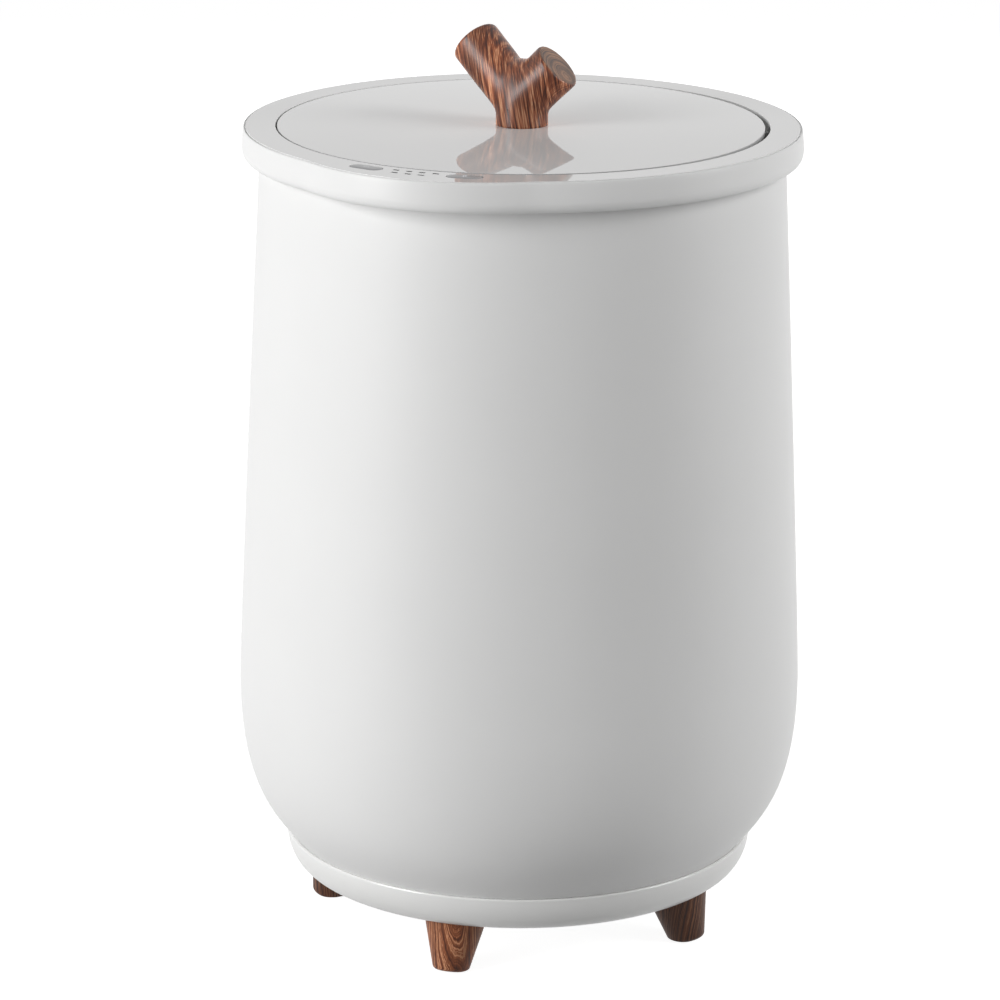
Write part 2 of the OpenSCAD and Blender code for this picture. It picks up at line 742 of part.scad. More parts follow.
outer_housing();
top_ring();
inner_bucket();
heater_film();
heater_disc();
insulation_blanket();
temperature_sensor();
thermal_cutout();
bucket_support();
base_ring();
base_plate();
front_leg();
left_leg();
right_leg();
rear_leg();
leg_bolts();
foot_pads();
cord_gland();
terminal_block();
power_board();
power_board_screws();
wiring_harness();
control_board();
control_board_screws();
button_switches();
indicator_lenses();
indicator_leds();
hinge_bracket();
hinge_pin();
hinge_bracket_screws();
ring_screws();
housing_screws();
base_plate_screws();
lid_top_cover();
lid_inner_cover();
lid_insulation();
lid_gasket();
lid_hinge_arm();
hinge_arm_screws();
lid_cover_screws();
twig_handle();
handle_screw();
handle_washer();
power_button();
timer_button();
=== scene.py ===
import bpy
from math import atan2, cos, pi, radians, sin, sqrt
from mathutils import Matrix, Vector
from mathutils.geometry import interpolate_bezier


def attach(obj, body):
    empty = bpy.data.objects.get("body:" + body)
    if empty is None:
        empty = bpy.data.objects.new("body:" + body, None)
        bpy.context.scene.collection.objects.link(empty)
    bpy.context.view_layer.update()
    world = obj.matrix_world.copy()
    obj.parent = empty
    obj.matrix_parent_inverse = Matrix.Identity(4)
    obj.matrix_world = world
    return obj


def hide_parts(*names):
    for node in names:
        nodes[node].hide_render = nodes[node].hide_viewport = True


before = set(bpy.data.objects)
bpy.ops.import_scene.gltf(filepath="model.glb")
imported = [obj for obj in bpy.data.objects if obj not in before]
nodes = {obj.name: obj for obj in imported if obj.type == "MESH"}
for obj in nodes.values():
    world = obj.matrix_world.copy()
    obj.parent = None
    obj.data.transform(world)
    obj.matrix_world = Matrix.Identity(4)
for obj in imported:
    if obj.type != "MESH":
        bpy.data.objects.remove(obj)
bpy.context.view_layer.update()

# Camera: a long lens 2.6 m in front of the part and above it, looking down at the lid.
# The focal length is in pixels of the square frame, fitted to the view in the photograph.
focal_pixels = 4571.5
frame_pixels = 1000
camera_data = bpy.data.cameras.new("camera")
camera_data.sensor_fit = "HORIZONTAL"
camera_data.sensor_width = 36
camera_data.lens = focal_pixels * camera_data.sensor_width / frame_pixels
camera_data.clip_start = 0.1
camera_data.clip_end = 60
camera = bpy.data.objects.new("camera", camera_data)
bpy.context.scene.collection.objects.link(camera)
camera_right = Vector((0.99996, 0.00622, 0.00566))
camera_up = Vector((-0.00715, 0.27408, 0.96168))
camera_ahead = Vector((-0.00443, 0.96169, -0.27411))
camera.matrix_world = Matrix.Translation((0, -2.6, 0.9951)) @ Matrix((
    camera_right, camera_up, -camera_ahead)).transposed().to_4x4()
bpy.context.scene.camera = camera
bpy.context.scene.view_settings.view_transform = "Standard"


# Light: a big soft box on the left, a weaker one on the right and a faint one behind.
# The room is pale where the camera or a gloss sees it, and dim where it only lights.
def new_node(material, kind, **settings):
    node = material.node_tree.nodes.new(kind)
    for setting, value in settings.items():
        setattr(node, setting, value)
    return node


def wire(material, start, output, end, socket):
    material.node_tree.links.new(start.outputs[output], end.inputs[socket])


def soft_box(name, bearing, height, distance, size, watts):
    lamp_data = bpy.data.lights.new(name, "AREA")
    lamp_data.shape = "RECTANGLE"
    lamp_data.size, lamp_data.size_y = size
    lamp_data.energy = watts
    lamp = bpy.data.objects.new(name, lamp_data)
    bpy.context.scene.collection.objects.link(lamp)
    a, e = radians(bearing), radians(height)
    towards = Vector((sin(a) * cos(e), -cos(a) * cos(e), sin(e)))
    lamp.location = Vector((0, 0, 0.25)) + towards * distance
    lamp.rotation_euler = towards.to_track_quat("Z", "Y").to_euler()
    return lamp


soft_box("left_soft_box", -60, 17, 2.4, (1.0, 1.6), 48)
soft_box("right_soft_box", 79, 25, 2.6, (1.2, 1.8), 37)
soft_box("back_soft_box", 180, 20, 2.8, (1.6, 1.6), 16).visible_glossy = False

world = bpy.data.worlds.new("pale_room")
world.use_nodes = True
bpy.context.scene.world = world
room_light = world.node_tree.nodes["Background"]
room_light.inputs["Color"].default_value = (1, 1, 1, 1)
seen_by = new_node(world, "ShaderNodeLightPath")
camera_or_gloss = new_node(world, "ShaderNodeMath", operation="MAXIMUM")
wire(world, seen_by, "Is Camera Ray", camera_or_gloss, 0)
wire(world, seen_by, "Is Glossy Ray", camera_or_gloss, 1)
any_sharp = new_node(world, "ShaderNodeMath", operation="MAXIMUM")
wire(world, camera_or_gloss, 0, any_sharp, 0)
wire(world, seen_by, "Is Transmission Ray", any_sharp, 1)
room_level = new_node(world, "ShaderNodeMapRange")
room_level.inputs["To Min"].default_value = 0.12
room_level.inputs["To Max"].default_value = 1.0
wire(world, any_sharp, 0, room_level, "Value")
wire(world, room_level, "Result", room_light, "Strength")

# Floor: a plain pale sheet of matt paper under the part.
# It looks white to the camera and to a gloss, and keeps the shadow.
bpy.ops.object.select_all(action="DESELECT")
bpy.ops.mesh.primitive_plane_add(size=24, location=(0, 0, 0))
floor = bpy.context.object
floor.name = "floor"
floor_paper = bpy.data.materials.new("floor_paper")
floor_paper.use_nodes = True
paper = floor_paper.node_tree.nodes["Principled BSDF"]
paper.inputs["Base Color"].default_value = (0.42, 0.42, 0.42, 1)
paper.inputs["Roughness"].default_value = 0.9
paper.inputs["Specular IOR Level"].default_value = 0.0
paper_glow = new_node(floor_paper, "ShaderNodeEmission")
paper_glow.inputs["Color"].default_value = (1, 1, 1, 1)
paper_seen = new_node(floor_paper, "ShaderNodeLightPath")
paper_sharp = new_node(floor_paper, "ShaderNodeMath", operation="MAXIMUM")
wire(floor_paper, paper_seen, "Is Camera Ray", paper_sharp, 0)
wire(floor_paper, paper_seen, "Is Glossy Ray", paper_sharp, 1)
paper_share = new_node(floor_paper, "ShaderNodeMath", operation="MULTIPLY")
paper_share.inputs[1].default_value = 0.92
wire(floor_paper, paper_sharp, 0, paper_share, 0)
wire(floor_paper, paper_share, 0, paper_glow, "Strength")
paper_both = new_node(floor_paper, "ShaderNodeAddShader")
wire(floor_paper, paper, "BSDF", paper_both, 0)
wire(floor_paper, paper_glow, "Emission", paper_both, 1)
wire(floor_paper, paper_both, "Shader", floor_paper.node_tree.nodes["Material Output"], "Surface")
floor.data.materials.append(floor_paper)


# Legs: four turned hardwood feet that lean outwards, cut level at both ends and waxed.
# Each is screwed up to the bottom plate by a bolt in its drilled core.
mm = 0.001
weld_distance = 0.001 * mm
sharp_edge = radians(32)


def only(piece):
    bpy.ops.object.select_all(action="DESELECT")
    piece.select_set(True)
    bpy.context.view_layer.objects.active = piece


def finish_with(piece, kind, **settings):
    only(piece)
    bpy.ops.object.modifier_add(type=kind)
    modifier = piece.modifiers[-1]
    for setting, value in settings.items():
        setattr(modifier, setting, value)
    bpy.ops.object.modifier_apply(modifier=modifier.name)


def cut_away(piece, tool):
    finish_with(piece, "BOOLEAN", operation="DIFFERENCE", solver="EXACT", object=tool)
    bpy.data.objects.remove(tool)


def settle(piece):
    only(piece)
    bpy.ops.object.transform_apply(location=True, rotation=True, scale=True)


def eased(corners):
    """An outline of (radius, height) in mm; a third number in a corner is how far its rounding reaches."""
    points = []
    for i, corner in enumerate(corners):
        here = Vector(corner[:2])
        if len(corner) == 2:
            points.append(here)
            continue
        before = Vector(corners[i - 1][:2])
        after = Vector(corners[(i + 1) % len(corners)][:2])
        start = here + (before - here).normalized() * corner[2]
        end = here + (after - here).normalized() * corner[2]
        points += [start * (1 - t) ** 2 + here * 2 * t * (1 - t) + end * t * t
                   for t in (0, 0.2, 0.4, 0.6, 0.8, 1)]
    return points


def curved(start, start_pull, end_pull, end, count):
    return [tuple(p) for p in interpolate_bezier(
        Vector(start), Vector(start_pull), Vector(end_pull), Vector(end), count)]


def turned(name, corners, steps=240):
    """One point walks along the outline, then the outline is spun round the upright axis."""
    outline = eased(corners)
    bpy.ops.object.select_all(action="DESELECT")
    bpy.ops.mesh.primitive_plane_add(size=0.002, location=(0, 0, 0))
    piece = bpy.context.object
    piece.name = name
    bpy.ops.object.mode_set(mode="EDIT")
    bpy.ops.mesh.select_mode(type="VERT")
    bpy.ops.mesh.select_all(action="SELECT")
    bpy.ops.mesh.merge(type="CENTER")
    here = Vector((0, 0))
    for i, point in enumerate(outline + outline[:1]):
        step = (point - here) * mm
        if i == 0:
            bpy.ops.transform.translate(value=(step.x, 0, step.y))
        else:
            bpy.ops.mesh.extrude_region_move(TRANSFORM_OT_translate={"value": (step.x, 0, step.y)})
        here = point
    bpy.ops.mesh.select_all(action="SELECT")
    bpy.ops.mesh.remove_doubles(threshold=weld_distance)
    bpy.ops.mesh.spin(steps=steps, angle=2 * pi, center=(0, 0, 0), axis=(0, 0, 1))
    bpy.ops.mesh.select_all(action="SELECT")
    bpy.ops.mesh.remove_doubles(threshold=weld_distance)
    bpy.ops.mesh.delete_loose()
    bpy.ops.mesh.select_all(action="SELECT")
    bpy.ops.mesh.normals_make_consistent(inside=False)
    bpy.ops.object.mode_set(mode="OBJECT")
    bpy.ops.object.shade_smooth_by_angle(angle=sharp_edge)
    return piece


def ring_place(bearing, radius, height=0):
    """A place in mm round the axis: bearing 0 is the front, positive towards the right."""
    a = radians(bearing)
    return Vector((radius * sin(a), -radius * cos(a), height)) * mm


def paint(piece, material):
    piece.data.materials.clear()
    piece.data.materials.append(material)


def ringed_wood(name, pith, lean, ring, colours, shine, fibre_share, gloss, coat,
                fibre_scale=(1, 1, 0.07)):
    """Solid wood: year rings round a leaning pith line, so every cut face shows its own figure."""
    wood = bpy.data.materials.new(name)
    wood.use_nodes = True
    shader = wood.node_tree.nodes["Principled BSDF"]
    place = new_node(wood, "ShaderNodeTexCoord")
    along_pith = new_node(wood, "ShaderNodeMapping", vector_type="TEXTURE")
    along_pith.inputs["Location"].default_value = pith
    along_pith.inputs["Rotation"].default_value = [radians(a) for a in lean]
    wire(wood, place, "Object", along_pith, "Vector")
    # The rings wander slowly along the grain
    stretched = new_node(wood, "ShaderNodeMapping")
    stretched.inputs["Scale"].default_value = (1, 1, 0.22)
    wire(wood, along_pith, "Vector", stretched, "Vector")
    drift = new_node(wood, "ShaderNodeTexNoise")
    drift.inputs["Scale"].default_value = 130
    drift.inputs["Detail"].default_value = 3
    drift.inputs["Roughness"].default_value = 0.6
    wire(wood, stretched, "Vector", drift, "Vector")
    drift_centred = new_node(wood, "ShaderNodeVectorMath", operation="SUBTRACT")
    drift_centred.inputs[1].default_value = (0.5, 0.5, 0.5)
    wire(wood, drift, "Color", drift_centred, 0)
    drift_sized = new_node(wood, "ShaderNodeVectorMath", operation="SCALE")
    drift_sized.inputs["Scale"].default_value = 0.0022
    wire(wood, drift_centred, "Vector", drift_sized, 0)
    drifted = new_node(wood, "ShaderNodeVectorMath", operation="ADD")
    wire(wood, along_pith, "Vector", drifted, 0)
    wire(wood, drift_sized, "Vector", drifted, 1)
    flat = new_node(wood, "ShaderNodeVectorMath", operation="MULTIPLY")
    flat.inputs[1].default_value = (1, 1, 0)
    wire(wood, drifted, "Vector", flat, 0)
    from_pith = new_node(wood, "ShaderNodeVectorMath", operation="LENGTH")
    wire(wood, flat, "Vector", from_pith, 0)
    ring_count = new_node(wood, "ShaderNodeMath", operation="MULTIPLY")
    ring_count.inputs[1].default_value = 1 / ring
    wire(wood, from_pith, "Value", ring_count, 0)
    # Uneven rings: light and dark growth of different widths
    rings = new_node(wood, "ShaderNodeTexNoise", noise_dimensions="1D")
    rings.inputs["Scale"].default_value = 1.0
    rings.inputs["Detail"].default_value = 3.5
    rings.inputs["Roughness"].default_value = 0.72
    wire(wood, ring_count, 0, rings, "W")
    # Fibres: fine streaks drawn out along the grain
    fibre_place = new_node(wood, "ShaderNodeMapping")
    fibre_place.inputs["Scale"].default_value = fibre_scale
    wire(wood, along_pith, "Vector", fibre_place, "Vector")
    fibres = new_node(wood, "ShaderNodeTexNoise")
    fibres.inputs["Scale"].default_value = 1300
    fibres.inputs["Detail"].default_value = 3
    wire(wood, fibre_place, "Vector", fibres, "Vector")
    figure = new_node(wood, "ShaderNodeMix", data_type="FLOAT")
    figure.inputs["Factor"].default_value = fibre_share
    wire(wood, rings, "Fac", figure, "A")
    wire(wood, fibres, "Fac", figure, "B")
    tones = new_node(wood, "ShaderNodeValToRGB")
    ramp = tones.color_ramp
    while len(ramp.elements) < len(colours):
        ramp.elements.new(0.5)
    for stop, (where, colour) in zip(ramp.elements, colours):
        stop.position = where
        stop.color = (*colour, 1)
    wire(wood, figure, "Result", tones, "Fac")
    # Broad patches of darker heartwood
    patch = new_node(wood, "ShaderNodeTexNoise")
    patch.inputs["Scale"].default_value = 55
    patch.inputs["Detail"].default_value = 1
    wire(wood, stretched, "Vector", patch, "Vector")
    patch_depth = new_node(wood, "ShaderNodeMapRange")
    patch_depth.inputs["From Min"].default_value = 0.35
    patch_depth.inputs["From Max"].default_value = 0.65
    patch_depth.inputs["To Min"].default_value = 0.55
    patch_depth.inputs["To Max"].default_value = 1.1
    wire(wood, patch, "Fac", patch_depth, "Value")
    darkened = new_node(wood, "ShaderNodeMix", data_type="RGBA", blend_type="MULTIPLY")
    darkened.inputs["Factor"].default_value = 1
    wire(wood, tones, "Color", darkened, 6)
    wire(wood, patch_depth, "Result", darkened, 7)
    wire(wood, darkened, 2, shader, "Base Color")
    wear = new_node(wood, "ShaderNodeMapRange")
    wear.inputs["To Min"].default_value = shine - 0.05
    wear.inputs["To Max"].default_value = shine + 0.12
    wire(wood, fibres, "Fac", wear, "Value")
    wire(wood, wear, "Result", shader, "Roughness")
    pores = new_node(wood, "ShaderNodeBump")
    pores.inputs["Strength"].default_value = 0.35
    pores.inputs["Distance"].default_value = 0.00004
    wire(wood, fibres, "Fac", pores, "Height")
    wire(wood, pores, "Normal", shader, "Normal")
    shader.inputs["Specular IOR Level"].default_value = gloss
    shader.inputs["Coat Weight"].default_value = coat
    shader.inputs["Coat Roughness"].default_value = 0.28
    return wood


leg_tones = ((0.36, (0.05, 0.014, 0.006)), (0.45, (0.15, 0.043, 0.017)),
             (0.52, (0.30, 0.10, 0.042)), (0.58, (0.68, 0.33, 0.18)), (0.66, (0.24, 0.077, 0.032)))
toe_radius, toe_height, toe_rounding = 7.9, 2.8, 3.2
leg_outline = [(0, -0.4)] + [
    (toe_radius + toe_rounding * cos(radians(a)), toe_height + toe_rounding * sin(radians(a)))
    for a in range(-90, -5, 8)
] + [(21.6, 44), (0, 44)]
leg_lean = radians(14.5)
foot_circle = 115.5
leg_low, leg_high = 1.0, 33.2
# The bolt stands where the solid leg's axis, leaning 11 degrees, meets the bottom plate
bolt_circle = 113 - 34.7 * 0.19438
bolt_bore, bore_depth, bore_height = 2.95, 30, 27
heart_circle = 108
leg_ring_width = 0.0015
# The last number in each row is painted shade: it scales that leg's wood colours darker where the lamps
# light the leg less, most of all on the right and left legs.
for leg, bearing, pith_shift, pith_lean, depth in (
        ("front_leg", -19.5, (0.5, -16.2, 44), (11.5, 0, 0), 1),
        ("left_leg", -97.5, (5, -16, 40), (10, -4, 0), 0.33),
        ("right_leg", 61, (-13, -12, 40), (12, 6, 0), 0.26),
        ("rear_leg", 160.5, (2, 16, 42), (-11.5, 2, 0), 0.8)):
    foot = ring_place(bearing, foot_circle)
    turned_leg = turned(leg + "_wood", leg_outline, 96)
    turned_leg.rotation_euler = (0, -leg_lean, radians(bearing - 90))
    turned_leg.location = foot
    settle(turned_leg)
    bpy.ops.object.mode_set(mode="EDIT")
    for height, downwards in ((leg_low, True), (leg_high, False)):
        bpy.ops.mesh.select_all(action="SELECT")
        bpy.ops.mesh.bisect(plane_co=(0, 0, height * mm), plane_no=(0, 0, 1), use_fill=True,
                            clear_inner=downwards, clear_outer=not downwards)
    bpy.ops.object.mode_set(mode="OBJECT")
    bpy.ops.mesh.primitive_cylinder_add(
        vertices=40, radius=bolt_bore * mm, depth=bore_depth * mm,
        location=ring_place(bearing, bolt_circle, bore_height))
    cut_away(turned_leg, bpy.context.object)
    only(turned_leg)
    bpy.ops.object.shade_smooth_by_angle(angle=sharp_edge)
    heart = ring_place(bearing, heart_circle)
    pith = (heart.x + pith_shift[0] * mm, heart.y + pith_shift[1] * mm, pith_shift[2] * mm)
    # Painted shade: the wood colours darkened by this leg's factor.
    painted_shade_tones = [(where, [c * depth for c in colour]) for where, colour in leg_tones]
    paint(turned_leg, ringed_wood(leg + "_hardwood", pith, pith_lean, leg_ring_width, painted_shade_tones,
                                  shine=0.45, fibre_share=0.2, gloss=0.25, coat=0.0))
    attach(turned_leg, "bucket")
    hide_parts(leg)


def rubbery(name, colour):
    rubber = bpy.data.materials.new(name)
    rubber.use_nodes = True
    shader = rubber.node_tree.nodes["Principled BSDF"]
    place = new_node(rubber, "ShaderNodeTexCoord")
    grain = new_node(rubber, "ShaderNodeTexNoise")
    grain.inputs["Scale"].default_value = 1800
    grain.inputs["Detail"].default_value = 3
    wire(rubber, place, "Object", grain, "Vector")
    tone = new_node(rubber, "ShaderNodeMix", data_type="RGBA")
    tone.inputs[6].default_value = (*[c * 0.8 for c in colour], 1)
    tone.inputs[7].default_value = (*[min(1, c * 1.2) for c in colour], 1)
    wire(rubber, grain, "Fac", tone, "Factor")
    wire(rubber, tone, 2, shader, "Base Color")
    matt = new_node(rubber, "ShaderNodeMapRange")
    matt.inputs["To Min"].default_value = 0.62
    matt.inputs["To Max"].default_value = 0.85
    wire(rubber, grain, "Fac", matt, "Value")
    wire(rubber, matt, "Result", shader, "Roughness")
    skin = new_node(rubber, "ShaderNodeBump")
    skin.inputs["Strength"].default_value = 0.3
    skin.inputs["Distance"].default_value = 0.00005
    wire(rubber, grain, "Fac", skin, "Height")
    wire(rubber, skin, "Normal", shader, "Normal")
    return rubber


grey_rubber = rubbery("grey_rubber", (0.035, 0.035, 0.037))
for node in ("foot_pads", "cord_gland"):
    paint(nodes[node], grey_rubber)


# Base ring: a bowl-shaped moulding in glossy white plastic, between the body and the legs.
# It is screwed up to the body from below and the bottom plate is screwed into it.
def moulded(name, colour, roughness, gloss, mottle=0.02, orange_peel=0.000012,
            coat=0.0, coat_roughness=0.03):
    """Moulded plastic: faint clouds in the colour, an uneven sheen and a fine orange-peel skin."""
    plastic = bpy.data.materials.new(name)
    plastic.use_nodes = True
    shader = plastic.node_tree.nodes["Principled BSDF"]
    shader.inputs["Specular IOR Level"].default_value = gloss
    shader.inputs["Coat Weight"].default_value = coat
    shader.inputs["Coat Roughness"].default_value = coat_roughness
    place = new_node(plastic, "ShaderNodeTexCoord")
    clouds = new_node(plastic, "ShaderNodeTexNoise")
    clouds.inputs["Scale"].default_value = 14
    clouds.inputs["Detail"].default_value = 4
    wire(plastic, place, "Object", clouds, "Vector")
    tone = new_node(plastic, "ShaderNodeMix", data_type="RGBA")
    tone.inputs[6].default_value = (*[c * (1 - mottle) for c in colour], 1)
    tone.inputs[7].default_value = (*[min(1, c * (1 + mottle)) for c in colour], 1)
    wire(plastic, clouds, "Fac", tone, "Factor")
    wire(plastic, tone, 2, shader, "Base Color")
    sheen = new_node(plastic, "ShaderNodeMapRange")
    sheen.inputs["To Min"].default_value = roughness * 0.85
    sheen.inputs["To Max"].default_value = roughness * 1.15
    wire(plastic, clouds, "Fac", sheen, "Value")
    wire(plastic, sheen, "Result", shader, "Roughness")
    peel = new_node(plastic, "ShaderNodeTexNoise")
    peel.inputs["Scale"].default_value = 420
    peel.inputs["Detail"].default_value = 2
    wire(plastic, place, "Object", peel, "Vector")
    skin = new_node(plastic, "ShaderNodeBump")
    skin.inputs["Strength"].default_value = 0.25
    skin.inputs["Distance"].default_value = orange_peel
    wire(plastic, peel, "Fac", skin, "Height")
    wire(plastic, skin, "Normal", shader, "Normal")
    return plastic


base_white = moulded("base_white", (0.80, 0.80, 0.79), 0.32, 0.4)
bowl = curved((138.9, 54.5), (139.4, 46), (135.5, 35.2), (127.4, 33.2), 20)
bowl_wall = 1.9
bowl_inside = [(r - bowl_wall, z) for r, z in reversed(bowl) if 38.9 < z < 47.8]
base_bowl = turned("base_bowl", [
    (136.85, 54.5, 0.3), (138.9, 54.5, 0.8)] + bowl[1:-1] + [
    (127.4, 33.2, 0.4), (125.8, 33.2, 0.4), (125.8, 36.2), (117, 36.2), (117, 38.4)] + bowl_inside + [
    (136.8, 48.2), (124, 48.2), (124, 50.5), (137, 50.5)])
paint(base_bowl, base_white)
base_bowl.data.materials.append(moulded(
    "base_lip_gloss", (0.86, 0.86, 0.85), 0.2, 0.5, coat=1.0, coat_roughness=0.08))
lip_height, lip_radius = 53, 136.8
for face in base_bowl.data.polygons:
    on_lip = face.center.z > lip_height * mm and face.center.xy.length > lip_radius * mm
    if on_lip and face.normal.z > 0.3:
        face.material_index = 1
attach(base_bowl, "bucket")
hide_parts("base_ring")

# Bottom plate: a flat moulding in the base ring's plastic, with board posts and cooling slots.
# It is screwed up into the base ring.
paint(nodes["base_plate"], base_white)


# Screws, bolts, hinge pin, hinge bracket and washer: cold-formed or pressed steel,
# zinc-plated, so the metal shows fine crystals and a soft haze.
def plated(name, colour, roughness, speckle=900):
    steel = bpy.data.materials.new(name)
    steel.use_nodes = True
    shader = steel.node_tree.nodes["Principled BSDF"]
    shader.inputs["Metallic"].default_value = 1
    place = new_node(steel, "ShaderNodeTexCoord")
    crystals = new_node(steel, "ShaderNodeTexNoise")
    crystals.inputs["Scale"].default_value = speckle
    crystals.inputs["Detail"].default_value = 4
    wire(steel, place, "Object", crystals, "Vector")
    tone = new_node(steel, "ShaderNodeMix", data_type="RGBA")
    tone.inputs[6].default_value = (*[c * 0.85 for c in colour], 1)
    tone.inputs[7].default_value = (*[min(1, c * 1.1) for c in colour], 1)
    wire(steel, crystals, "Fac", tone, "Factor")
    wire(steel, tone, 2, shader, "Base Color")
    haze = new_node(steel, "ShaderNodeMapRange")
    haze.inputs["To Min"].default_value = roughness * 0.7
    haze.inputs["To Max"].default_value = roughness * 1.3
    wire(steel, crystals, "Fac", haze, "Value")
    wire(steel, haze, "Result", shader, "Roughness")
    return steel


zinc_steel = plated("zinc_steel", (0.62, 0.63, 0.65), 0.32)
for node in ("leg_bolts", "base_plate_screws", "housing_screws", "ring_screws", "power_board_screws",
             "control_board_screws", "hinge_bracket", "hinge_pin", "hinge_bracket_screws",
             "hinge_arm_screws", "lid_cover_screws", "handle_screw", "handle_washer"):
    paint(nodes[node], zinc_steel)

# Barrel housing: one tall white shell, with the shelf for the tub and the neck under the rim.
# It is moulded in glossy plastic and holds the base ring by six screws.
housing_white = moulded("housing_white", (0.83, 0.83, 0.825), 0.4, 0.18)
foot_curve = curved((133.6, 50.5), (148.8, 70), (166.35, 82), (166.35, 148), 26)
side_curve = curved((166.35, 148), (166.35, 168), (157.5, 358), (152.4, 462), 40)
outer_line = foot_curve + side_curve[1:]
barrel_wall = 2.2
inner_line = [(r - barrel_wall, z) for r, z in reversed(outer_line) if 53.5 < z < 450.3]
barrel = turned("barrel_shell", outer_line + [
    (152.4, 468.5), (150.4, 468.5), (150.4, 458.3), (134.5, 458.3, 0.3), (134.5, 456.3, 0.3),
    (150.3, 456.3)] + inner_line + [(122, 52.9), (122, 50.5)], 300)
paint(barrel, housing_white)
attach(barrel, "bucket")
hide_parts("outer_housing")


# Tub: aluminium, spun over a form, so fine turning lines run round it.
# Its flange rests on the shelf of the housing.
def spun_metal(name, colour):
    metal = bpy.data.materials.new(name)
    metal.use_nodes = True
    shader = metal.node_tree.nodes["Principled BSDF"]
    shader.inputs["Metallic"].default_value = 1
    place = new_node(metal, "ShaderNodeTexCoord")
    level = new_node(metal, "ShaderNodeVectorMath", operation="MULTIPLY")
    level.inputs[1].default_value = (1, 1, 0)
    wire(metal, place, "Object", level, 0)
    reach = new_node(metal, "ShaderNodeVectorMath", operation="LENGTH")
    wire(metal, level, "Vector", reach, 0)
    parts = new_node(metal, "ShaderNodeSeparateXYZ")
    wire(metal, place, "Object", parts, "Vector")
    travel = new_node(metal, "ShaderNodeMath", operation="SUBTRACT")
    wire(metal, parts, "Z", travel, 0)
    wire(metal, reach, "Value", travel, 1)
    lines = new_node(metal, "ShaderNodeTexNoise", noise_dimensions="1D")
    lines.inputs["Scale"].default_value = 700
    lines.inputs["Detail"].default_value = 5
    lines.inputs["Roughness"].default_value = 0.7
    wire(metal, travel, 0, lines, "W")
    clouds = new_node(metal, "ShaderNodeTexNoise")
    clouds.inputs["Scale"].default_value = 25
    wire(metal, place, "Object", clouds, "Vector")
    tone = new_node(metal, "ShaderNodeMix", data_type="RGBA")
    tone.inputs[6].default_value = (*[c * 0.82 for c in colour], 1)
    tone.inputs[7].default_value = (*[min(1, c * 1.08) for c in colour], 1)
    wire(metal, lines, "Fac", tone, "Factor")
    wire(metal, tone, 2, shader, "Base Color")
    sheen = new_node(metal, "ShaderNodeMapRange")
    sheen.inputs["To Min"].default_value = 0.24
    sheen.inputs["To Max"].default_value = 0.42
    wire(metal, clouds, "Fac", sheen, "Value")
    wire(metal, sheen, "Result", shader, "Roughness")
    grooves = new_node(metal, "ShaderNodeBump")
    grooves.inputs["Strength"].default_value = 0.4
    grooves.inputs["Distance"].default_value = 0.00003
    wire(metal, lines, "Fac", grooves, "Height")
    wire(metal, grooves, "Normal", shader, "Normal")
    return metal


paint(nodes["inner_bucket"], spun_metal("spun_aluminium", (0.72, 0.73, 0.74)))

# Heat, sensing and lagging round the tub: a foil heater, a pressed plate and a glass-fibre
# blanket, with the moulded and rubber-sheathed pieces below the tub.
paint(nodes["heater_film"], plated("heater_foil", (0.75, 0.55, 0.32), 0.42, 260))
paint(nodes["heater_disc"], plated("heater_plate", (0.5, 0.5, 0.51), 0.45, 340))


def fibrous(name, colour):
    blanket = bpy.data.materials.new(name)
    blanket.use_nodes = True
    shader = blanket.node_tree.nodes["Principled BSDF"]
    shader.inputs["Sheen Weight"].default_value = 0.3
    shader.inputs["Roughness"].default_value = 0.95
    place = new_node(blanket, "ShaderNodeTexCoord")
    matted = new_node(blanket, "ShaderNodeTexNoise")
    matted.inputs["Scale"].default_value = 240
    matted.inputs["Detail"].default_value = 8
    matted.inputs["Distortion"].default_value = 1.5
    wire(blanket, place, "Object", matted, "Vector")
    tone = new_node(blanket, "ShaderNodeMix", data_type="RGBA")
    tone.inputs[6].default_value = (*[c * 0.7 for c in colour], 1)
    tone.inputs[7].default_value = (*colour, 1)
    wire(blanket, matted, "Fac", tone, "Factor")
    wire(blanket, tone, 2, shader, "Base Color")
    fluff = new_node(blanket, "ShaderNodeBump")
    fluff.inputs["Strength"].default_value = 0.8
    fluff.inputs["Distance"].default_value = 0.0008
    wire(blanket, matted, "Fac", fluff, "Height")
    wire(blanket, fluff, "Normal", shader, "Normal")
    return blanket


paint(nodes["insulation_blanket"], fibrous("fibre_blanket", (0.78, 0.74, 0.62)))
paint(nodes["lid_insulation"], fibrous("lid_foam", (0.82, 0.79, 0.66)))
paint(nodes["temperature_sensor"], rubbery("sensor_black", (0.02, 0.02, 0.02)))
paint(nodes["thermal_cutout"], moulded("cutout_tan", (0.42, 0.27, 0.13), 0.5, 0.3, 0.08))
paint(nodes["bucket_support"], moulded("inner_grey", (0.45, 0.45, 0.46), 0.5, 0.3, 0.05))
paint(nodes["terminal_block"], moulded("terminal_ivory", (0.74, 0.69, 0.55), 0.45, 0.4, 0.04))
paint(nodes["wiring_harness"], rubbery("wire_black", (0.018, 0.018, 0.018)))
paint(nodes["button_switches"], moulded("switch_black", (0.03, 0.03, 0.032), 0.4, 0.4, 0.1))
paint(nodes["indicator_leds"], moulded("led_yellow", (0.75, 0.62, 0.2), 0.25, 0.5, 0.04))


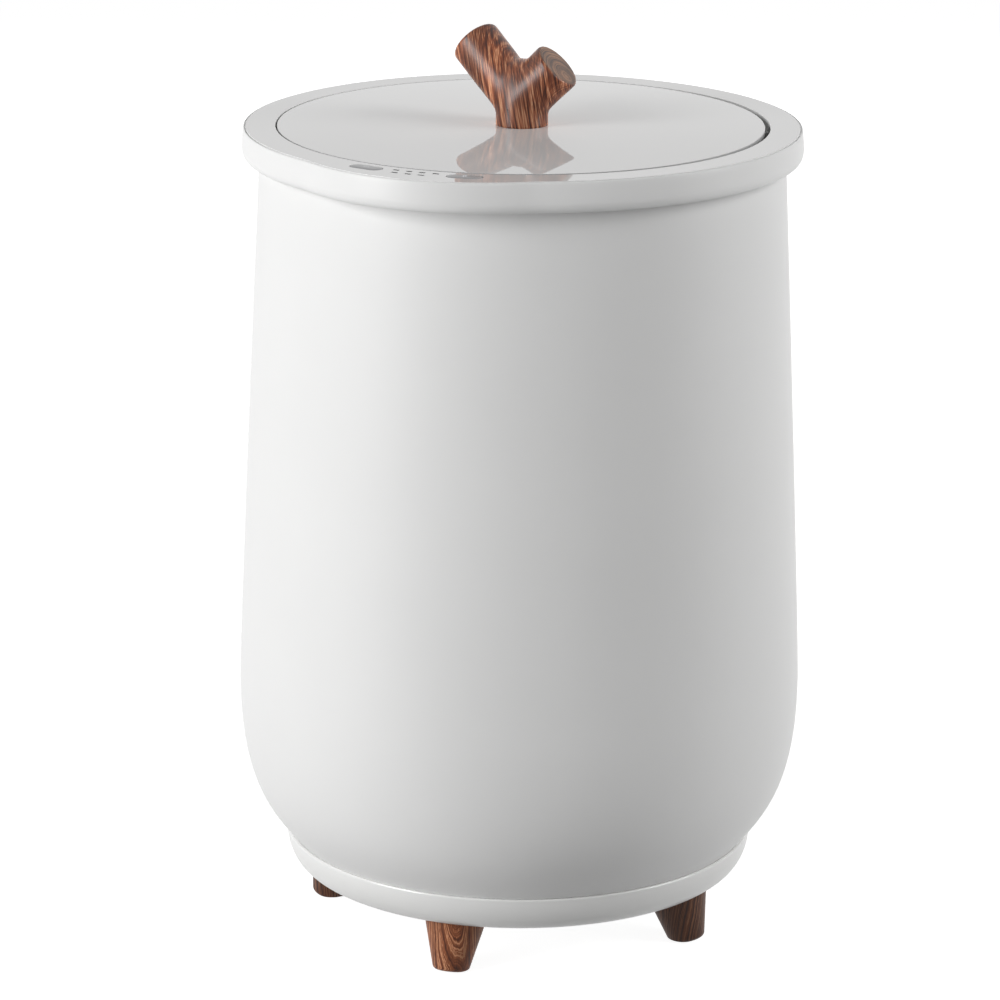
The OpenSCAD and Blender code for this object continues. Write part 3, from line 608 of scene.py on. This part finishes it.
# Circuit boards: green solder mask over a woven glass core, with the copper tracks just
# showing. Each is screwed to its posts.
def circuit_board(name):
    board = bpy.data.materials.new(name)
    board.use_nodes = True
    shader = board.node_tree.nodes["Principled BSDF"]
    shader.inputs["Roughness"].default_value = 0.3
    place = new_node(board, "ShaderNodeTexCoord")
    tracks = new_node(board, "ShaderNodeTexBrick")
    tracks.inputs["Scale"].default_value = 150
    tracks.inputs["Color1"].default_value = (0.012, 0.16, 0.045, 1)
    tracks.inputs["Color2"].default_value = (0.016, 0.20, 0.06, 1)
    tracks.inputs["Mortar"].default_value = (0.03, 0.3, 0.11, 1)
    wire(board, place, "Object", tracks, "Vector")
    wire(board, tracks, "Color", shader, "Base Color")
    raised = new_node(board, "ShaderNodeBump")
    raised.inputs["Strength"].default_value = 0.3
    raised.inputs["Distance"].default_value = 0.00004
    wire(board, tracks, "Fac", raised, "Height")
    wire(board, raised, "Normal", shader, "Normal")
    return board


for node in ("power_board", "control_board"):
    paint(nodes[node], circuit_board(node + "_mask"))

# Rim: a one-piece white moulding, satin outside, with a polished control deck inside a fine
# groove, the lid's throat and the gasket's ledge. It bows out round the keys, is cut out for
# the keys, the lights and the hinge, and is screwed on from inside.
rim_white = moulded("rim_white", (0.83, 0.83, 0.825), 0.36, 0.25)
deck_gloss = moulded("deck_gloss", (0.86, 0.855, 0.85), 0.08, 0.0, mottle=0.015,
                     orange_peel=0.000004, coat=1.0)
rim_top = curved((161.05, 479.6), (161.75, 479.6), (161.95, 477), (162.5, 468), 14)
rim_low = curved((162.5, 468), (162.5, 465.2), (161.4, 462.6), (158.8, 462), 10)
rim = turned("rim_moulding", [
    (142.9, 480, 0.25), (160.1, 480, 0.12), (160.15, 479.1, 0.05), (161, 479.1, 0.05)
] + rim_top + rim_low[1:-1] + [
    (158.8, 462, 0.4), (155.8, 462, 0.3), (155.8, 463.6), (160.1, 466), (160.1, 469), (158.6, 477.2),
    (144.5, 477.2), (144.5, 471.5), (134.9, 471.5), (134.9, 459.5), (132.5, 459.5), (132.5, 474, 0.4),
    (142.9, 474)], 360)
paint(rim, rim_white)
rim.data.materials.append(deck_gloss)
wall_starts = 157
polished_from = 479.8
for face in rim.data.polygons:
    at_crease = face.normal.z > 0.25 and face.center.xy.length > wall_starts * mm
    if face.center.z > polished_from * mm and (face.normal.z > 0.98 or at_crease):
        face.material_index = 1
# Round the keys the wall follows a second circle, set off the axis, and runs softly into it
bow_bearing, bow_offset, bow_radius, deck_radius = -23, 60, 109, 160.4
bow_softness = 2
for vertex in rim.data.vertices:
    reach = vertex.co.xy.length / mm
    if reach > wall_starts:
        away = atan2(vertex.co.x, -vertex.co.y) - radians(bow_bearing)
        to_bow = bow_offset * cos(away) + sqrt(bow_radius ** 2 - (bow_offset * sin(away)) ** 2)
        past = to_bow - deck_radius
        vertex.co.xy *= 1 + (past + sqrt(past ** 2 + bow_softness)) / 2 / reach


def pick(piece, wanted):
    """Selects the corners that are wanted, and the edges and faces that lie between them."""
    corners = piece.data.vertices
    for vertex in corners:
        vertex.select = wanted(vertex.co)
    for edge in piece.data.edges:
        edge.select = all(corners[v].select for v in edge.vertices)
    for face in piece.data.polygons:
        face.select = all(corners[v].select for v in face.vertices)


def block(place, size, bearing=90):
    """A box with its sides in mm, the first one pointing outwards at the bearing."""
    bpy.ops.object.select_all(action="DESELECT")
    bpy.ops.mesh.primitive_cube_add(size=1, location=place, rotation=(0, 0, radians(bearing - 90)))
    box = bpy.context.object
    box.scale = [side * mm for side in size]
    settle(box)
    return box


key_circle = 152.2


def oval_slug(name, length, width, bottom, top, bearing):
    """A round-ended oval that lies along the rim's deck: a disc pulled apart in the middle and raised."""
    bpy.ops.object.select_all(action="DESELECT")
    bpy.ops.mesh.primitive_circle_add(vertices=64, radius=width / 2 * mm, fill_type="NGON",
                                      location=(0, 0, 0))
    slug = bpy.context.object
    slug.name = name
    for side in (1, -1):
        pick(slug, lambda place: place.y * side > 0.0001 * mm)
        bpy.ops.object.mode_set(mode="EDIT")
        bpy.ops.mesh.select_mode(type="VERT")
        bpy.ops.transform.translate(value=(0, side * (length - width) / 2 * mm, 0))
        bpy.ops.object.mode_set(mode="OBJECT")
    bpy.ops.object.mode_set(mode="EDIT")
    bpy.ops.mesh.select_all(action="SELECT")
    bpy.ops.transform.translate(value=(0, 0, bottom * mm))
    bpy.ops.mesh.extrude_region_move(TRANSFORM_OT_translate={"value": (0, 0, (top - bottom) * mm)})
    bpy.ops.mesh.select_all(action="SELECT")
    bpy.ops.mesh.normals_make_consistent(inside=False)
    bpy.ops.object.mode_set(mode="OBJECT")
    slug.rotation_euler = (0, 0, radians(bearing - 90))
    slug.location = ring_place(bearing, key_circle)
    settle(slug)
    return slug


key_bearings = (("power_button", -34.5), ("timer_button", -12))
for node, bearing in key_bearings:
    cut_away(rim, oval_slug("key_hole", 20.9, 9.9, 470, 490, bearing))
light_bearings = ((-27.8, 149), (-24.7, 149), (-21.7, 149), (-18.6, 149),
                  (-26.9, 155.3), (-23.9, 155.3), (-21, 155.3))
for bearing, radius in light_bearings:
    cut_away(rim, block(ring_place(bearing, radius, 480), (2.5, 3.9, 12), bearing))
cut_away(rim, block((144.2 * mm, 0, 468.15 * mm), (18.8, 19.4, 19.3)))
only(rim)
bpy.ops.object.shade_smooth_by_angle(angle=sharp_edge)
for face in rim.data.polygons:
    face.use_smooth = face.use_smooth and face.normal.z < 0.999
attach(rim, "bucket")
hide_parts("top_ring")

# Indicator lights: seven light guides in clear plastic, grey while they are off.
# They are pressed into the deck from below.
lens_grey = moulded("lens_grey", (0.14, 0.14, 0.145), 0.6, 0.0, 0.08)


def joined(parts):
    """All the parts in one object, the first one's."""
    bpy.ops.object.select_all(action="DESELECT")
    for part in parts:
        part.select_set(True)
    bpy.context.view_layer.objects.active = parts[0]
    bpy.ops.object.join()
    return parts[0]


light_guides = []
for bearing, radius in light_bearings:
    guide = block(ring_place(bearing, radius, 477.95), (2.4, 3.8, 3.9), bearing)
    finish_with(guide, "BEVEL", width=0.25 * mm, segments=2, limit_method="ANGLE")
    light_guides.append(guide)
lights = joined(light_guides)
lights.name = "light_guides"
settle(lights)
bpy.ops.object.shade_smooth_by_angle(angle=radians(50))
paint(lights, lens_grey)
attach(lights, "bucket")
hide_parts("indicator_lenses")

# Keys: two oval push keys, moulded and plated in a satin metal finish, slightly domed.
# Each has a skirt that keeps it under the deck, and a small plain raised sign.
key_metal = plated("key_metal", (0.27, 0.27, 0.275), 0.32, 1500)
sign_silver = plated("sign_silver", (0.5, 0.5, 0.51), 0.6, 1500)
crown_sink = 0.86
crown_steps = ((0.12, 0.24), (0.2, 0.2), (0.4, 0.18), (0.6, 0.13), (0.7, 0.08), (0.8, 0.03))
key_top = 480.4
sign_radius, sign_thickness = 1.35, 0.13
for node, bearing in key_bearings:
    key = oval_slug(node + "_key", 20.3, 9.3, 476.6, key_top, bearing)
    skirt = oval_slug(node + "_skirt", 22.7, 11.5, 475.6, 476.9, bearing)
    pick(key, lambda place: False)
    only(key)
    bpy.ops.object.mode_set(mode="EDIT")
    bpy.ops.mesh.select_mode(type="FACE")
    bpy.ops.object.mode_set(mode="OBJECT")
    for face in key.data.polygons:
        face.select = face.normal.z > 0.9
    bpy.ops.object.mode_set(mode="EDIT")
    # The crown: the top face steps in six times and rises each time a little less
    bpy.ops.transform.translate(value=(0, 0, -crown_sink * mm))
    for inset, rise in crown_steps:
        bpy.ops.mesh.inset(thickness=inset * mm, depth=rise * mm)
    bpy.ops.object.mode_set(mode="OBJECT")
    bpy.ops.object.shade_smooth_by_angle(angle=radians(40))
    paint(key, key_metal)
    # The sign: a fine raised ring, open with a bar for power, closed with two hands for the timer
    middle = ring_place(bearing, key_circle, key_top)
    bpy.ops.object.select_all(action="DESELECT")
    bpy.ops.mesh.primitive_torus_add(
        location=middle, rotation=(0, 0, radians(bearing)), major_segments=48, minor_segments=8,
        major_radius=sign_radius * mm, minor_radius=sign_thickness * mm)
    sign = bpy.context.object
    settle(sign)
    strokes = ((0, 1.0, 1.5),) if node == "power_button" else ((0, 0.45, 1.0), (90, 0.3, 0.7))
    if node == "power_button":
        gap_way = -ring_place(bearing, 1).normalized()
        pick(sign, lambda place: (place - middle).normalized().dot(gap_way) > 0.8)
        bpy.ops.object.mode_set(mode="EDIT")
        bpy.ops.mesh.select_mode(type="VERT")
        bpy.ops.mesh.delete(type="VERT")
        bpy.ops.mesh.select_all(action="SELECT")
        bpy.ops.mesh.fill_holes(sides=0)
        bpy.ops.mesh.select_all(action="SELECT")
        bpy.ops.mesh.normals_make_consistent(inside=False)
        bpy.ops.object.mode_set(mode="OBJECT")
    sign_parts = [sign]
    for turn, reach, length in strokes:
        inwards = -ring_place(bearing + turn, 1).normalized()
        bpy.ops.object.select_all(action="DESELECT")
        bpy.ops.mesh.primitive_cylinder_add(
            vertices=12, radius=sign_thickness * mm, depth=length * mm,
            location=middle + inwards * reach * mm,
            rotation=inwards.to_track_quat("Z", "Y").to_euler())
        sign_parts.append(bpy.context.object)
    for part in sign_parts:
        settle(part)
        paint(part, sign_silver)
    key = joined([key] + sign_parts + [skirt])
    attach(key, node)
    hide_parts(node)

# Lid: a round cover in polished white plastic over a dished inner cover, with lagging between; its edge
# band is grey, painted shade for the gap round it.
# It hangs on the hinge arm and closes on a silicone gasket.
lid_gloss = moulded("lid_gloss", (0.86, 0.855, 0.85), 0.06, 0.0, mottle=0.015,
                    orange_peel=0.000004, coat=1.0, coat_roughness=0.02)
lid_shift = -1.1
lid_disc = turned("lid_disc", [
    (0, 476.8), (140.4, 476.8), (140.9, 477.3), (140.9, 480, 0.3), (0, 480)], 360)
bpy.ops.object.mode_set(mode="EDIT")
bpy.ops.mesh.select_all(action="SELECT")
bpy.ops.transform.translate(value=(lid_shift * mm, 0, 0))
bpy.ops.object.mode_set(mode="OBJECT")
paint(lid_disc, lid_gloss)
# Painted shade: the lid's edge faces are grey so the gap round the lid shows as a dark line.
lid_disc.data.materials.append(moulded("lid_edge_painted_shade", (0.5, 0.5, 0.5), 0.45, 0.2))
for face in lid_disc.data.polygons:
    if face.normal.z < 0.98:
        face.material_index = 1
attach(lid_disc, "lid")
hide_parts("lid_top_cover")
paint(nodes["lid_inner_cover"], moulded("lid_inside_white", (0.79, 0.79, 0.785), 0.3, 0.4))
paint(nodes["lid_gasket"], rubbery("gasket_silicone", (0.42, 0.42, 0.42)))
paint(nodes["lid_hinge_arm"], moulded("hinge_white", (0.8, 0.8, 0.79), 0.35, 0.4))

# Handle: carved from one block of reddish hardwood like a forked twig, and lacquered.
# A stem rises from the lid and forks into a long branch and a short one, with soft hollows between.
fork = Vector((-0.6, 0, 493)) * mm
long_way = Vector((-27.6, 26.5, 30.9)).normalized()
short_way = Vector((20.5, -7.4, 21.7)).normalized()
bpy.ops.object.select_all(action="DESELECT")
bpy.ops.mesh.primitive_cylinder_add(vertices=160, radius=15.15 * mm, depth=13 * mm,
                                    location=(-0.6 * mm, 0, 486.5 * mm))
stem = bpy.context.object
handle_parts = [stem]
for lift, radius in ((0, 15.2), (4, 15.2), (7.5, 14.7), (11.5, 13.6)):
    bpy.ops.mesh.primitive_uv_sphere_add(segments=96, ring_count=48, radius=radius * mm,
                                         location=fork + Vector((0, lift * 0.22, lift)) * mm)
    handle_parts.append(bpy.context.object)
end_rounding = 1.4
for way, raised, length, radius in ((long_way, 0, 49.2, 14.75), (short_way, 1.2, 30.8, 15.0)):
    start = fork + Vector((0, 0, raised * mm))
    bpy.ops.object.select_all(action="DESELECT")
    bpy.ops.mesh.primitive_cylinder_add(vertices=160, radius=radius * mm, depth=length * mm,
                                        location=start + way * length / 2 * mm,
                                        rotation=way.to_track_quat("Z", "Y").to_euler())
    branch = bpy.context.object
    settle(branch)
    # Every edge is eased, so both ends are rounded before the parts grow together
    bpy.ops.object.mode_set(mode="EDIT")
    bpy.ops.mesh.select_mode(type="EDGE")
    bpy.ops.mesh.select_all(action="SELECT")
    bpy.ops.mesh.bevel(offset=end_rounding * mm, segments=7, affect="EDGES")
    bpy.ops.object.mode_set(mode="OBJECT")
    handle_parts.append(branch)
handle = joined(handle_parts)
handle.name = "forked_handle"
settle(handle)
finish_with(handle, "REMESH", mode="VOXEL", voxel_size=0.6 * mm, adaptivity=0)
hollows = handle.vertex_groups.new(name="hollows")
all_round = handle.vertex_groups.new(name="all_round")
hollow_reach, hollow_fade = 27, 7
for vertex in handle.data.vertices:
    from_fork = vertex.co - fork
    out = max(from_fork.dot(long_way), from_fork.dot(short_way)) / mm
    up = vertex.co.z / mm
    near_fork = max(0, min(1, (hollow_reach - out) / hollow_fade))
    above_lid = max(0, min(1, (up - 482.5) / 5))
    hollows.add([vertex.index], near_fork * above_lid, "REPLACE")
    all_round.add([vertex.index], max(0, min(1, (up - 480.4) / 1)), "REPLACE")
finish_with(handle, "SMOOTH", factor=0.5, iterations=170, vertex_group="hollows")
finish_with(handle, "SMOOTH", factor=0.5, iterations=8, vertex_group="all_round")
bpy.ops.object.shade_smooth()
handle_tones = ((0.37, (0.05, 0.012, 0.006)), (0.44, (0.12, 0.029, 0.011)),
                (0.5, (0.24, 0.066, 0.026)), (0.56, (0.45, 0.16, 0.075)),
                (0.62, (0.72, 0.37, 0.21)), (0.7, (0.32, 0.10, 0.042)))
handle_wood = ringed_wood(
    "handle_hardwood", (22 * mm, -7 * mm, 500 * mm), (2, -9, 0), 0.0026, handle_tones,
    shine=0.33, fibre_share=0.62, gloss=0.3, coat=0.2, fibre_scale=(1, 0.1, 0.035))
paint(handle, handle_wood)
# The sawn ends: greyer end grain with its rings round the heart of each branch
end_tones = ((0.38, (0.045, 0.02, 0.012)), (0.46, (0.13, 0.062, 0.034)),
             (0.53, (0.25, 0.12, 0.064)), (0.6, (0.42, 0.22, 0.12)), (0.68, (0.17, 0.08, 0.042)))
end_distance = 26
for side, way, heart, turn in (("long", long_way, (-26, 30, 520), (0, 49.7, 136.2)),
                               ("short", short_way, (24.5, -10.5, 510), (0, 45.1, -19.8))):
    handle.data.materials.append(ringed_wood(
        side + "_end_grain", [v * mm for v in heart], turn, 0.0022, end_tones,
        shine=0.4, fibre_share=0.15, gloss=0.3, coat=0.15, fibre_scale=(1, 1, 0.5)))
    for face in handle.data.polygons:
        if face.normal.dot(way) > 0.93 and (face.center - fork).dot(way) > end_distance * mm:
            face.material_index = len(handle.data.materials) - 1
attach(handle, "lid")
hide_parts("twig_handle")
